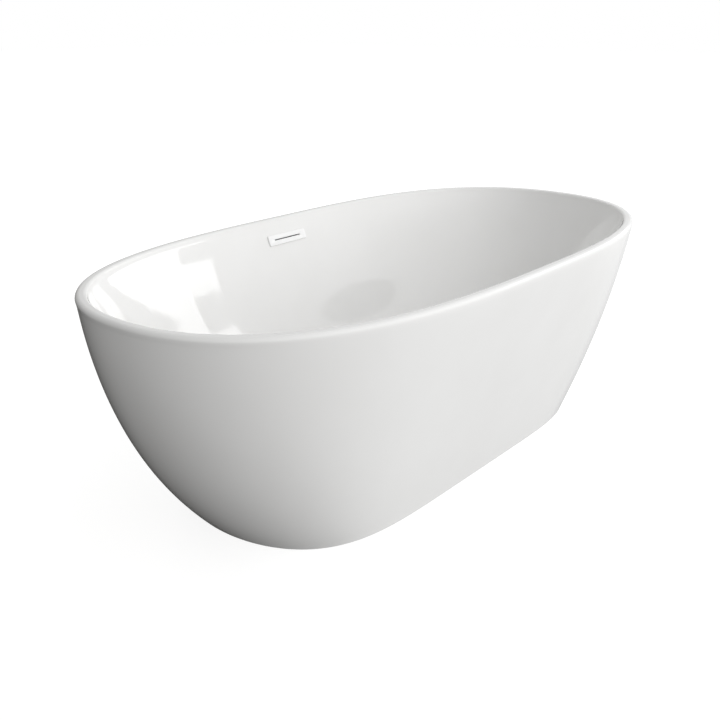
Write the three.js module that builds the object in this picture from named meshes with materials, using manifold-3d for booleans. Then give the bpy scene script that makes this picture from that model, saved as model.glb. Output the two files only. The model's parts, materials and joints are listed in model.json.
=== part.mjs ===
// Freestanding double-ended oval bathtub, in millimetres, +Z up.
// The origin is on the floor under the middle of the tub. +X runs along its length, +Y towards the overflow.

import * as THREE from 'three';
import { mergeVertices } from 'three/addons/utils/BufferGeometryUtils.js';
import Module from 'manifold-3d';

const wasm = await Module();
wasm.setup();

// Driving dimensions of the tub.
const tubLength = 1700;
const tubWidth = 860;
const tubHeight = 550;
const sheet = 5; // thickness of the acrylic shells
const seam = 0.3; // gap left between pieces that touch
const aroundCount = 48; // facets round the tub, a multiple of four

// Rim section: a soft hump between the outer face and the well.
const rimWidth = 24;
const rimOuterRadius = 10;
const rimInnerRadius = 8;
const lipDepth = 22; // how far the outer lip hangs below the rim's top

// Outer face: half length and half width against height, as cubic Bezier curves from the floor to the rim.
const outerTop = tubHeight - rimOuterRadius;
const outerLengthCurve = [[624, 0], [847, 247], [842, 529], [tubLength / 2, outerTop]];
const outerWidthCurve = [[282, 0], [370, 324], [430, 529], [tubWidth / 2, outerTop]];

// Superellipse exponents of the plan outline, at the rim and at the floor.
const rimShape = { nx: 3.09, ny: 2.22 };
const baseShape = { nx: 5.68, ny: 2 };
const shapeBlend = 0.765; // how quickly the outline turns from the one to the other

// Well: half length, half width and height, as one Bezier curve from the floor's flat up to the rim.
const floorHeight = 130;
const wellTop = tubHeight - rimInnerRadius;
const wellLengthCurve = [430, 640, 749, tubLength / 2 - rimWidth];
const wellWidthCurve = [150, 265, 318, tubWidth / 2 - rimWidth];
const wellHeightCurve = [floorHeight, floorHeight, 330, wellTop];

// Drain, in the middle of the floor.
const drainRimRadius = 40;
const drainSeatRadius = 37;
const drainHoleRadius = 26;
const drainRimHeight = floorHeight - 3; // the floor falls this far to the drain
const drainSeatHeight = drainRimHeight - 3.5;
const flangeRadius = 36;
const flangeUnder = drainSeatHeight + 1.8; // underside of the flange, on its gasket
const barrel = { outer: 24, inner: 20, bottom: 92 }; // threaded tube below the flange
const web = { low: 104, high: 110, width: 3, gap: 0.45, hubRadius: 9, holeRadius: 6.3 }; // cross in the barrel
const stemRadius = 3.2;
const wasteTop = drainSeatHeight - sheet - 3.3;
const wasteCollar = { radius: 38, depth: 6 };
const wasteChamber = { outer: 31, inner: 22, bottom: 44, floor: 50 };
const outletSpigot = { outer: 20, inner: 17, bottom: 22 };
const outletNut = { acrossFlats: 52, hole: 21.2, low: 28, thickness: 12 };

// Overflow, in the wall on the +Y side.
const overflowHeight = 495;
const overflowPlate = { width: 142, height: 28, proud: 4, corner: 2 };
const overflowSlot = { width: 100, height: 4 };
const overflowCollar = { width: 112, height: 16, wall: 2.5, depth: 11 };
const overflowCutout = { width: overflowCollar.width + 1, height: overflowCollar.height + 1, corner: 3 };
const overflowGasket = { margin: 14, front: sheet + 0.5, back: sheet + 1.9 };
const duct = { width: 60, wall: 2, boxHeight: 26, front: sheet + 2.2, back: 17.8, bottom: -88 };
const sump = { back: 30, height: 22 }; // the duct deepens at its foot, where the nipple is
const nipple = { y: 20.5, bottom: -112 };
const clip = { inner: 11.6, outer: 12.8, width: 8 };
const hose = { outer: 11, inner: 9, nipple: 8.2, bore: 6.4 }; // radii
const hoseLevel = 62; // height of the hose at the waste body

// Frame under the floor.
const boardLength = 840;
const boardWidth = 280;
const boardThickness = 18;
const boardTop = drainRimHeight - sheet - 0.1; // the basin's floor lies just above it
const boardCorner = 60;
const boardHoleRadius = 52;
const tube = 25; // square tube
const tubeWall = 2;
const railSpan = 800;
const railY = 105;
const crossbarSpan = 440;
const crossbarPlaces = { crossbar_left: -380, crossbar_middle: 150, crossbar_right: 380 };
const footPlaces = [[-380, -190], [380, -190], [-380, 190], [380, 190], [150, 0]];
const studRadius = 6; // M12
const studTop = 95;
const padHeight = 14;
const padRadius = 24;
const socketFloor = 8; // bottom of the pad's socket for the stud
const nutAcrossFlats = 18;
const weldNutThickness = 10;
const lockNutThickness = 6;
const screwX = 300;
const screwRadius = 2;
const pilotRadius = 2.5;
const pilotDepth = 13;

// ---------------------------------------------------------------- materials

const whiteAcrylic = { color: 0xf6f6f4, roughness: 0.16, metalness: 0 };
const whitePlastic = { color: 0xfafaf9, roughness: 0.22, metalness: 0 };
const glassLaminate = { color: 0xd9d3c0, roughness: 0.7, metalness: 0 };
const chipboard = { color: 0xb99a6b, roughness: 0.85, metalness: 0 };
const galvanised = { color: 0xa9adb0, roughness: 0.45, metalness: 0.9 };
const zincSteel = { color: 0xc4c6c8, roughness: 0.35, metalness: 0.95 };
const blackRubber = { color: 0x1d1d1e, roughness: 0.8, metalness: 0 };
const greyPlastic = { color: 0x8d9093, roughness: 0.5, metalness: 0 };
const chromedBrass = { color: 0xdadcde, roughness: 0.1, metalness: 1 };

const tub = new THREE.Group();

function addPart(name, geometry, finish, parent = tub) {
  const mesh = new THREE.Mesh(geometry, new THREE.MeshStandardMaterial(finish));
  mesh.name = name;
  parent.add(mesh);
  return mesh;
}

// ---------------------------------------------------------------- solids

function toManifold(geometry) {
  const plain = geometry.clone();
  plain.deleteAttribute('normal');
  plain.deleteAttribute('uv');
  const merged = mergeVertices(plain, 1e-4);
  return new wasm.Manifold(new wasm.Mesh({
    numProp: 3,
    vertProperties: Float32Array.from(merged.attributes.position.array),
    triVerts: Uint32Array.from(merged.index.array),
  }));
}

function fromManifold(solid) {
  const mesh = solid.getMesh();
  const geometry = new THREE.BufferGeometry();
  geometry.setAttribute('position', new THREE.BufferAttribute(Float32Array.from(mesh.vertProperties), 3));
  geometry.setIndex(new THREE.BufferAttribute(Uint32Array.from(mesh.triVerts), 1));
  return geometry;
}

function cut(body, ...tools) {
  let solid = toManifold(body);
  for (const tool of tools) {
    solid = solid.subtract(toManifold(tool));
  }
  return fromManifold(solid);
}

function join(...bodies) {
  let solid = toManifold(bodies[0]);
  for (const body of bodies.slice(1)) {
    solid = solid.add(toManifold(body));
  }
  return fromManifold(solid);
}

// Solid of revolution about +Z from [radius, height] points, from the axis to the axis or closed on itself.
function turned(points, segments = 20) {
  const profile = points.map(([radius, height]) => new THREE.Vector2(radius, height));
  const geometry = new THREE.LatheGeometry(profile, segments);
  return geometry.rotateX(Math.PI / 2);
}

function washer(inner, outer, low, high, segments = 20) {
  return turned([[inner, low], [outer, low], [outer, high], [inner, high], [inner, low]], segments);
}

function disc(radius, low, high, segments = 20) {
  return turned([[0, low], [radius, low], [radius, high], [0, high]], segments);
}

function block([x0, y0, z0], [x1, y1, z1]) {
  const geometry = new THREE.BoxGeometry(x1 - x0, y1 - y0, z1 - z0);
  return geometry.translate((x0 + x1) / 2, (y0 + y1) / 2, (z0 + z1) / 2);
}

function roundedOutline(width, height, corner, Outline = THREE.Shape) {
  const x = width / 2;
  const y = height / 2;
  const outline = new Outline();
  outline.moveTo(x - corner, -y);
  outline.absarc(x - corner, -y + corner, corner, -Math.PI / 2, 0);
  outline.absarc(x - corner, y - corner, corner, 0, Math.PI / 2);
  outline.absarc(-x + corner, y - corner, corner, Math.PI / 2, Math.PI);
  outline.absarc(-x + corner, -y + corner, corner, Math.PI, Math.PI * 1.5);
  outline.closePath();
  return outline;
}

function slab(outline, thickness, curveSegments = 3) {
  return new THREE.ExtrudeGeometry(outline, { depth: thickness, bevelEnabled: false, curveSegments });
}

function polygonPoints(radius, sides) {
  const points = [];
  for (let side = 0; side < sides; side += 1) {
    const angle = side / sides * Math.PI * 2;
    points.push(new THREE.Vector2(radius * Math.cos(angle), radius * Math.sin(angle)));
  }
  return points;
}

// Hexagonal nut standing on `low`, with a round hole.
function hexNut(acrossFlats, holeRadius, low, thickness) {
  const outline = new THREE.Shape(polygonPoints(acrossFlats / Math.sqrt(3), 6));
  outline.holes.push(new THREE.Path(polygonPoints(holeRadius, 12)));
  return slab(outline, thickness).translate(0, 0, low);
}

// ---------------------------------------------------------------- shells

function bezier([p0, p1, p2, p3], t) {
  const s = 1 - t;
  return s * s * s * p0 + 3 * s * s * t * p1 + 3 * s * t * t * p2 + t * t * t * p3;
}

// Value of a [value, height] Bezier curve at a height.
function curveAtHeight(curve, height) {
  const heights = curve.map((point) => point[1]);
  let low = 0;
  let high = 1;
  for (let step = 0; step < 40; step += 1) {
    const middle = (low + high) / 2;
    if (bezier(heights, middle) < height) low = middle;
    else high = middle;
  }
  return bezier(curve.map((point) => point[0]), (low + high) / 2);
}

// One level outline of the outer face, moved inwards by `inset`.
function outerLevel(height, inset = 0) {
  const z = Math.min(height, outerTop);
  const k = Math.pow(z / outerTop, shapeBlend);
  return {
    a: curveAtHeight(outerLengthCurve, z) - inset,
    b: curveAtHeight(outerWidthCurve, z) - inset,
    z: height,
    nx: THREE.MathUtils.lerp(baseShape.nx, rimShape.nx, k),
    ny: THREE.MathUtils.lerp(baseShape.ny, rimShape.ny, k),
  };
}

// Points of a level outline: |x/a|^nx + |y/b|^ny = 1.
function levelRing({ a, b, z, nx, ny }) {
  const ring = [];
  for (let index = 0; index < aroundCount; index += 1) {
    const angle = index / aroundCount * Math.PI * 2;
    const side = index * 2 % aroundCount === 0 ? 0 : Math.sign(Math.sin(angle));
    const across = Math.pow(Math.max(0, 1 - Math.pow(Math.abs(Math.cos(angle)), nx)), 1 / ny);
    ring.push(new THREE.Vector3(a * Math.cos(angle), side * b * across, z));
  }
  return ring;
}

// The rings pushed back by a distance, away from the side that their face looks at.
function pushedRings(rings, distance) {
  const last = rings.length - 1;
  return rings.map((ring, row) => ring.map((point, column) => {
    const along = rings[Math.min(row + 1, last)][column].clone().sub(rings[Math.max(row - 1, 0)][column]);
    const next = ring[(column + 1) % aroundCount];
    const around = next.clone().sub(ring[(column + aroundCount - 1) % aroundCount]);
    return point.clone().addScaledVector(along.cross(around).normalize(), distance);
  }));
}

// Closed solid from rings that run once round its section.
function loopSolid(rings) {
  const positions = rings.flat().flatMap((point) => [point.x, point.y, point.z]);
  const triangles = [];
  for (let row = 0; row < rings.length; row += 1) {
    const here = row * aroundCount;
    const there = (row + 1) % rings.length * aroundCount;
    for (let column = 0; column < aroundCount; column += 1) {
      const next = (column + 1) % aroundCount;
      triangles.push(here + column, here + next, there + column);
      triangles.push(here + next, there + next, there + column);
    }
  }
  const geometry = new THREE.BufferGeometry();
  geometry.setAttribute('position', new THREE.Float32BufferAttribute(positions, 3));
  geometry.setIndex(triangles);
  return geometry;
}

function rimLevels() {
  const levels = [outerLevel(tubHeight - lipDepth), outerLevel(outerTop)];
  for (const degrees of [30, 60, 90]) {
    const angle = THREE.MathUtils.degToRad(degrees);
    const inset = rimOuterRadius * (1 - Math.cos(angle));
    levels.push(outerLevel(outerTop + rimOuterRadius * Math.sin(angle), inset));
  }
  for (const degrees of [0, 30, 60]) {
    const angle = THREE.MathUtils.degToRad(degrees);
    const inset = rimWidth - rimInnerRadius * (1 - Math.sin(angle));
    levels.push(outerLevel(wellTop + rimInnerRadius * Math.cos(angle), inset));
  }
  return levels;
}

function wellLevels(steps = 8) {
  const levels = [];
  for (let step = 0; step <= steps; step += 1) {
    const t = 1 - step / steps;
    levels.push({
      a: bezier(wellLengthCurve, t),
      b: bezier(wellWidthCurve, t),
      z: bezier(wellHeightCurve, t),
      ...rimShape,
    });
  }
  return levels;
}

function floorLevels() {
  const drain = (radius, z) => ({ a: radius, b: radius, z, nx: 2, ny: 2 });
  return [
    { a: 235, b: 95, z: floorHeight - 1.5, nx: 2.5, ny: 2.1 },
    drain(drainRimRadius, drainRimHeight),
    drain(drainSeatRadius, drainSeatHeight),
    drain(drainHoleRadius, drainSeatHeight),
  ];
}

// ---------------------------------------------------------------- overflow position

// The wall's point and lean at the overflow's height, on the tub's middle line.
function overflowSeat() {
  let t = 1;
  while (bezier(wellHeightCurve, t) > overflowHeight) t -= 0.0005;
  const dy = bezier(wellWidthCurve, t + 0.01) - bezier(wellWidthCurve, t - 0.01);
  const dz = bezier(wellHeightCurve, t + 0.01) - bezier(wellHeightCurve, t - 0.01);
  return { y: bezier(wellWidthCurve, t), lean: Math.atan2(dy, dz) };
}

// Group whose +Y is the wall's outward normal and whose +Z runs up the wall.
const overflowFrame = new THREE.Group();
const seat = overflowSeat();
overflowFrame.position.set(0, seat.y, overflowHeight);
overflowFrame.rotation.x = -seat.lean;
overflowFrame.updateMatrixWorld(true);
tub.add(overflowFrame);

// Plate lying in the frame's XZ plane, from `front` to `back` along its +Y.
function upright(outline, front, back, curveSegments = 3) {
  return slab(outline, back - front, curveSegments).rotateX(Math.PI / 2).translate(0, back, 0);
}

// ---------------------------------------------------------------- shells and their bond

function makeBasin() {
  const levels = [...rimLevels(), ...wellLevels(), ...floorLevels()];
  const face = levels.map(levelRing);
  const back = pushedRings(face, sheet);
  const shell = loopSolid([...face, ...back.reverse()]);
  const opening = roundedOutline(overflowCutout.width, overflowCutout.height, overflowCutout.corner);
  const cutter = upright(opening, -15, 20).applyMatrix4(overflowFrame.matrixWorld);
  addPart('basin', cut(shell, cutter), whiteAcrylic);
}

function makeSkirt() {
  const top = tubHeight - lipDepth - seam;
  const heights = [0, 70, 150, 240, 340, 440, top];
  const face = heights.map((height) => levelRing(outerLevel(height)));
  const back = heights.map((height) => levelRing(outerLevel(height, sheet)));
  addPart('skirt', loopSolid([...face, ...back.reverse()]), whiteAcrylic);
}

// Laminate band inside the joint between the lip and the skirt.
function makeBondStrip() {
  const heights = [510, 534];
  const gap = sheet + 1;
  const thickness = 2.5;
  const face = heights.map((height) => levelRing(outerLevel(height, gap)));
  const back = heights.map((height) => levelRing(outerLevel(height, gap + thickness)));
  addPart('rim_bond_strip', loopSolid([...face, ...back.reverse()]), glassLaminate);
}

// ---------------------------------------------------------------- board and frame

const boardBottom = boardTop - boardThickness;
const railTop = boardBottom - seam;
const railBottom = railTop - tube;
const crossTop = railBottom - seam;
const crossBottom = crossTop - tube;

function makeBaseboard() {
  const outline = roundedOutline(boardLength, boardWidth, boardCorner);
  const hole = new THREE.Path();
  hole.absarc(0, 0, boardHoleRadius, 0, Math.PI * 2);
  outline.holes.push(hole);
  const board = slab(outline, boardThickness, 8).translate(0, 0, boardBottom);
  const pilots = [-screwX, screwX].flatMap((x) => [-railY, railY].map(
    (y) => disc(pilotRadius, boardBottom - 1, boardBottom + pilotDepth, 12).translate(x, y, 0),
  ));
  addPart('baseboard', cut(board, ...pilots), chipboard);
}

// Square tube along +X, centred, with its top at height zero.
function squareTube(length) {
  const outline = roundedOutline(tube, tube, 2);
  outline.holes.push(roundedOutline(tube - 2 * tubeWall, tube - 2 * tubeWall, 1, THREE.Path));
  return slab(outline, length, 1).rotateY(Math.PI / 2).translate(-length / 2, 0, -tube / 2);
}

function makeRails() {
  for (const [name, y] of [['rail_front', -railY], ['rail_rear', railY]]) {
    const rail = squareTube(railSpan).translate(0, y, railTop);
    const hole = disc(pilotRadius, railBottom - 2, railTop + 2, 12).translate(0, y, 0);
    const holes = [-screwX, screwX].map((x) => hole.clone().translate(x, 0, 0));
    addPart(name, cut(rail, ...holes), galvanised);
  }
}

function makeCrossbars() {
  for (const [name, x] of Object.entries(crossbarPlaces)) {
    const bar = squareTube(crossbarSpan).rotateZ(Math.PI / 2).translate(x, 0, crossTop);
    const feet = footPlaces.filter((place) => place[0] === x);
    const hole = disc(studRadius + 0.8, crossBottom - 2, crossTop + 2, 16).translate(x, 0, 0);
    const holes = feet.map(([, y]) => hole.clone().translate(0, y, 0));
    addPart(name, cut(bar, ...holes), galvanised);
  }
}

function makeRailScrews() {
  const head = railBottom - seam;
  const profile = [
    [0, head - 3], [4.2, head - 3], [4.8, head], [screwRadius, head],
    [screwRadius, boardBottom + pilotDepth - 4], [0, boardBottom + pilotDepth - 1],
  ];
  let number = 1;
  for (const x of [-screwX, screwX]) {
    for (const y of [-railY, railY]) {
      addPart(`rail_screw_${number}`, turned(profile, 12).translate(x, y, 0), zincSteel);
      number += 1;
    }
  }
}

// ---------------------------------------------------------------- levelling feet

function makeFoot(number, [x, y]) {
  const boreRadius = studRadius + 0.5;
  const padProfile = [
    [0, 0], [padRadius, 0], [padRadius, 4], [padRadius / 2, padHeight - 2], [padRadius / 2 - 1, padHeight],
    [boreRadius, padHeight], [boreRadius, socketFloor], [0, socketFloor],
  ];
  const studProfile = [
    [0, socketFloor + seam], [studRadius, socketFloor + seam], [studRadius, studTop - 1.5],
    [studRadius - 1.5, studTop], [0, studTop],
  ];
  const place = new THREE.Group();
  place.position.set(x, y, 0);
  tub.add(place);
  addPart(`foot_${number}_pad`, turned(padProfile, 16), blackRubber, place);
  addPart(`foot_${number}_stud`, turned(studProfile, 12), zincSteel, place);
  const weldLow = crossBottom - seam - weldNutThickness;
  const lockLow = weldLow - seam - lockNutThickness;
  const weldNut = hexNut(nutAcrossFlats, boreRadius, weldLow, weldNutThickness);
  const lockNut = hexNut(nutAcrossFlats, boreRadius, lockLow, lockNutThickness);
  addPart(`foot_${number}_weld_nut`, weldNut, zincSteel, place);
  addPart(`foot_${number}_lock_nut`, lockNut, zincSteel, place);
}

// ---------------------------------------------------------------- drain

function makeFlange() {
  const { outer, inner, bottom } = barrel;
  const profile = [
    [inner, bottom], [outer, bottom], [outer, flangeUnder], [flangeRadius - 0.5, flangeUnder],
    [flangeRadius, flangeUnder + 0.8], [31, flangeUnder + 2], [25, flangeUnder + 2.2], [24, flangeUnder + 0.8],
    [22, flangeUnder + 0.4], [inner, flangeUnder - 1], [inner, bottom],
  ];
  addPart('drain_flange', turned(profile), chromedBrass);
}

// Cross with a hub that carries the stopper's cartridge, fitted inside the barrel.
function makeDrainCross() {
  const reach = barrel.inner - web.gap;
  const bar = block([-reach, -web.width / 2, web.low], [reach, web.width / 2, web.high]);
  const body = join(bar, bar.clone().rotateZ(Math.PI / 2), disc(web.hubRadius, web.low, web.high));
  addPart('drain_cross', cut(body, disc(web.holeRadius, web.low - 2, web.high + 2)), chromedBrass);
}

function makeDrainGaskets() {
  const inner = drainHoleRadius + 0.5;
  const top = washer(inner, flangeRadius - 2, drainSeatHeight + seam, flangeUnder - seam);
  addPart('drain_top_gasket', top, blackRubber);
  const lower = washer(inner, flangeRadius, wasteTop + seam, drainSeatHeight - sheet - seam);
  addPart('drain_lower_gasket', lower, blackRubber);
}

// Cylinder along +Y at the hose's level.
function levelDisc(radius, front, back) {
  return disc(radius, front, back, 16).rotateX(-Math.PI / 2).translate(0, 0, hoseLevel);
}

// Waste body: collar under the floor, chamber, overflow inlet towards +Y and outlet spigot downwards.
function makeWasteBody() {
  const outer = join(
    disc(wasteCollar.radius, wasteTop - wasteCollar.depth, wasteTop),
    disc(wasteChamber.outer, wasteChamber.bottom, wasteTop - wasteCollar.depth + 1),
    disc(outletSpigot.outer, outletSpigot.bottom, wasteChamber.bottom + 1),
    levelDisc(hose.nipple, 24, 58),
  );
  const inner = join(
    disc(barrel.outer + 0.3, barrel.bottom - 4, wasteTop + 1),
    disc(wasteChamber.inner, wasteChamber.floor, barrel.bottom),
    disc(outletSpigot.inner, outletSpigot.bottom - 2, wasteChamber.floor + 2),
    levelDisc(hose.bore, 14, 60),
  );
  addPart('waste_body', cut(outer, inner), greyPlastic);
  const { acrossFlats, hole, low, thickness } = outletNut;
  addPart('outlet_nut', hexNut(acrossFlats, hole, low, thickness), greyPlastic);
}

function makeStopper() {
  const seatLevel = flangeUnder + 0.8;
  const capUnder = seatLevel + 1.9;
  const capProfile = [
    [0, capUnder], [29, capUnder], [30.5, capUnder + 1], [30, capUnder + 2.4], [26, capUnder + 3.6],
    [14, capUnder + 4.8], [0, capUnder + 5.2],
  ];
  addPart('stopper_cap', turned(capProfile), whitePlastic);
  addPart('stopper_seal', washer(12, 23.4, seatLevel - 0.1, capUnder - seam), blackRubber);
  addPart('stopper_stem', disc(stemRadius, web.low - 6, capUnder - seam, 16), chromedBrass);
  const bore = stemRadius + seam;
  const sleeve = web.holeRadius - seam;
  const cartridge = [
    [bore, web.low - 10], [sleeve, web.low - 10], [sleeve, web.high + 1], [sleeve + 1.5, web.high + 1],
    [sleeve + 1.5, web.high + 4], [bore, web.high + 4], [bore, web.low - 10],
  ];
  addPart('stopper_cartridge', turned(cartridge, 16), whitePlastic);
}

// ---------------------------------------------------------------- overflow

function makeOverflowPlate() {
  const { width, height, proud, corner } = overflowPlate;
  const { wall, depth } = overflowCollar;
  const face = upright(roundedOutline(width, height, corner), -proud, -seam);
  const collar = upright(roundedOutline(overflowCollar.width, overflowCollar.height, wall), -1, depth);
  const clear = roundedOutline(overflowCollar.width - 2 * wall, overflowCollar.height - 2 * wall, 2);
  const hollow = upright(clear, -seam - 0.5, depth + 2);
  const slot = upright(roundedOutline(overflowSlot.width, overflowSlot.height, 1.9), -proud - 2, 2);
  addPart('overflow_plate', cut(join(face, collar), hollow, slot), whitePlastic, overflowFrame);
}

function makeOverflowGasket() {
  const { margin, front, back } = overflowGasket;
  const outline = roundedOutline(overflowCollar.width + margin, overflowCollar.height + margin - 5, 4);
  const { width, height, corner } = overflowCutout;
  outline.holes.push(roundedOutline(width, height, corner, THREE.Path));
  addPart('overflow_gasket', upright(outline, front, back), blackRubber, overflowFrame);
}

// Flat duct: a wide box behind the slot, a channel down the wall, and a sump with a nipple for the hose.
function makeOverflowDuct() {
  const { wall, front, back, bottom } = duct;
  const side = overflowCollar.width / 2 + 5;
  const up = duct.boxHeight / 2;
  const half = duct.width / 2;
  const sumpTop = bottom + sump.height;
  const outer = join(
    block([-side, front, -up], [side, back, up]),
    block([-half, front + 2, bottom + 4], [half, back + 1, -up + 3]),
    block([-half, front + 2, bottom], [half, sump.back, sumpTop]),
    disc(hose.nipple, nipple.bottom, bottom + 1, 16).translate(0, nipple.y, 0),
  );
  const inner = join(
    block([-side + 2.5, front - 2, -up + 3], [side - 2.5, back - wall, up - 3]),
    block([-half + wall, front + 2 + wall, bottom + 4], [half - wall, back - wall + 1, -up + 5]),
    block([-half + wall, front + 2 + wall, bottom + wall], [half - wall, sump.back - wall, sumpTop - wall]),
    disc(hose.bore, nipple.bottom - 2, bottom + 4, 16).translate(0, nipple.y, 0),
  );
  addPart('overflow_duct', cut(outer, inner), greyPlastic, overflowFrame);
}

// Centre line of the hose: down the duct's line, through the gap under the basin, level into the waste body.
function hoseRoute() {
  const start = overflowFrame.localToWorld(new THREE.Vector3(0, nipple.y, duct.bottom - 4));
  const second = overflowFrame.localToWorld(new THREE.Vector3(0, nipple.y, nipple.bottom - 6));
  return new THREE.CatmullRomCurve3([
    start, second,
    new THREE.Vector3(0, 337, 300),
    new THREE.Vector3(0, 301, 200),
    new THREE.Vector3(0, 250, 118),
    new THREE.Vector3(0, 178, 72),
    new THREE.Vector3(0, 100, hoseLevel),
    new THREE.Vector3(0, 34, hoseLevel),
  ], false, 'centripetal');
}

function makeOverflowHose() {
  const sides = 10;
  const section = new THREE.Shape(polygonPoints(hose.outer, sides));
  section.holes.push(new THREE.Path(polygonPoints(hose.inner, sides)));
  const geometry = new THREE.ExtrudeGeometry(section, { steps: 18, extrudePath: hoseRoute(), bevelEnabled: false });
  addPart('overflow_hose', geometry, greyPlastic);
}

function makeHoseClips() {
  const band = () => washer(clip.inner, clip.outer, -clip.width / 2, clip.width / 2, 16);
  const upper = addPart('hose_clip_upper', band(), zincSteel, overflowFrame);
  upper.position.set(0, nipple.y, duct.bottom - 14);
  const lower = addPart('hose_clip_lower', band(), zincSteel);
  lower.rotation.x = Math.PI / 2;
  lower.position.set(0, 46, hoseLevel);
}

makeBasin();
makeSkirt();
makeBondStrip();
makeBaseboard();
makeRails();
makeCrossbars();
makeRailScrews();
footPlaces.forEach((place, index) => makeFoot(index + 1, place));
makeFlange();
makeDrainCross();
makeDrainGaskets();
makeWasteBody();
makeStopper();
makeOverflowPlate();
makeOverflowGasket();
makeOverflowDuct();
makeOverflowHose();
makeHoseClips();

export default tub;
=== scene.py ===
import json
import math
import bpy
from mathutils import Matrix, Vector


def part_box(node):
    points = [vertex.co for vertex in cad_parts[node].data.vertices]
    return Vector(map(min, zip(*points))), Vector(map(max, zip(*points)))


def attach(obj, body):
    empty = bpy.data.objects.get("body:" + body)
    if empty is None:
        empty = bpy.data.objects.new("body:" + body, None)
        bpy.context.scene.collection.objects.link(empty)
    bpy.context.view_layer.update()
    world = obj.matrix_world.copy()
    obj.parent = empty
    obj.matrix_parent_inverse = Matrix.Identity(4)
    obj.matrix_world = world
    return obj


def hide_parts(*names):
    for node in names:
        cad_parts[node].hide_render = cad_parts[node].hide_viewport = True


# Freestanding double-ended bathtub: fine shells, rim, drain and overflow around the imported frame.

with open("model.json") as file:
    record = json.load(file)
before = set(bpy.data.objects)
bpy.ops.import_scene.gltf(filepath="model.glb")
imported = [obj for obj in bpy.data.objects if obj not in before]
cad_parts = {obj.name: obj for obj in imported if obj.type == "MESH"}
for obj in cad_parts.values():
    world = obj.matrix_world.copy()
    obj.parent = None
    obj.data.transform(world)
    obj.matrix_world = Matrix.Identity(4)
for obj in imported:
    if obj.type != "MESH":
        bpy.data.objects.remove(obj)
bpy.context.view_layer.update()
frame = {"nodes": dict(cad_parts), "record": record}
print("frame loaded:", len(frame["nodes"]), "nodes")


# Camera

cameraView = {
    "azimuth": -50.1,
    "elevation": 21.07,
    "distance": 2.309,
    "lens": 44.24,
    "aimHeight": 0.300,
    "aimRight": -0.0925,
    "aimUp": -0.0710,
}


def makeCamera(view):
    azimuth = math.radians(view["azimuth"])
    elevation = math.radians(view["elevation"])
    turn = Matrix.Rotation(azimuth, 3, "Z") @ Matrix.Rotation(math.pi / 2 - elevation, 3, "X")
    offset = turn @ Vector((view["aimRight"], view["aimUp"], view["distance"]))
    data = bpy.data.cameras.new("tubCamera")
    data.lens = view["lens"]
    camera = bpy.data.objects.new("tubCamera", data)
    camera.matrix_world = Matrix.Translation(offset + Vector((0, 0, view["aimHeight"]))) @ turn.to_4x4()
    bpy.context.scene.collection.objects.link(camera)
    bpy.context.scene.camera = camera


makeCamera(cameraView)
print("camera placed")


# Mesh helpers

def meshObject(name, points, faces, sharpAngle=35):
    mesh = bpy.data.meshes.new(name)
    mesh.from_pydata([tuple(point) for point in points], [], faces)
    mesh.validate()
    mesh.update()
    mesh.polygons.foreach_set("use_smooth", [True] * len(mesh.polygons))
    mesh.set_sharp_from_angle(angle=math.radians(sharpAngle))
    piece = bpy.data.objects.new(name, mesh)
    bpy.context.scene.collection.objects.link(piece)
    return piece


# Skin over rings: closed joins the last ring to the first, and otherwise both ends are capped
def skinRings(name, rings, closed=True, sharpAngle=35):
    count = len(rings[0])
    points = [point for ring in rings for point in ring]
    faces = []
    for row in range(len(rings) if closed else len(rings) - 1):
        here = row * count
        there = (row + 1) % len(rings) * count
        for column in range(count):
            after = (column + 1) % count
            faces.append((here + column, here + after, there + after, there + column))
    if not closed:
        faces.append(tuple(range(count - 1, -1, -1)))
        last = (len(rings) - 1) * count
        faces.append(tuple(last + column for column in range(count)))
    return meshObject(name, points, faces, sharpAngle)


def circleRing(radius, height, count):
    angles = [2 * math.pi * index / count for index in range(count)]
    return [Vector((radius * math.cos(angle), radius * math.sin(angle), height)) for angle in angles]


axisGap = 0.0002  # a profile that meets the axis ends in a ring of this radius


# Turned piece from (radius, height) points
def turnedPiece(name, profile, closed=True, count=96, at=(0, 0, 0), sharpAngle=35):
    place = Vector(at)
    rings = [[point + place for point in circleRing(radius, height, count)] for radius, height in profile]
    return skinRings(name, rings, closed, sharpAngle)


def arcPoints(centre, radius, startAngle, endAngle, steps):
    points = []
    for step in range(steps + 1):
        angle = math.radians(startAngle + (endAngle - startAngle) * step / steps)
        points.append((centre[0] + radius * math.cos(angle), centre[1] + radius * math.sin(angle)))
    return points


def placeIn(matrix, piece):
    piece.data.transform(matrix)
    piece.data.update()
    return piece


# Keeps the result of a boolean cut or join as the piece's own mesh
def combine(piece, other, operation, sharpAngle=35):
    modifier = piece.modifiers.new("combine", "BOOLEAN")
    modifier.object = other
    modifier.operation = operation
    modifier.solver = "EXACT"
    bpy.context.view_layer.update()
    evaluated = piece.evaluated_get(bpy.context.evaluated_depsgraph_get())
    mesh = bpy.data.meshes.new_from_object(evaluated)
    piece.modifiers.clear()
    piece.data = mesh
    mesh.set_sharp_from_angle(angle=math.radians(sharpAngle))
    bpy.data.objects.remove(other)
    return piece


# Materials

def newMaterial(name):
    material = bpy.data.materials.new(name)
    material.use_nodes = True
    shader = material.node_tree.nodes["Principled BSDF"]
    return material, material.node_tree, shader


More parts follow.
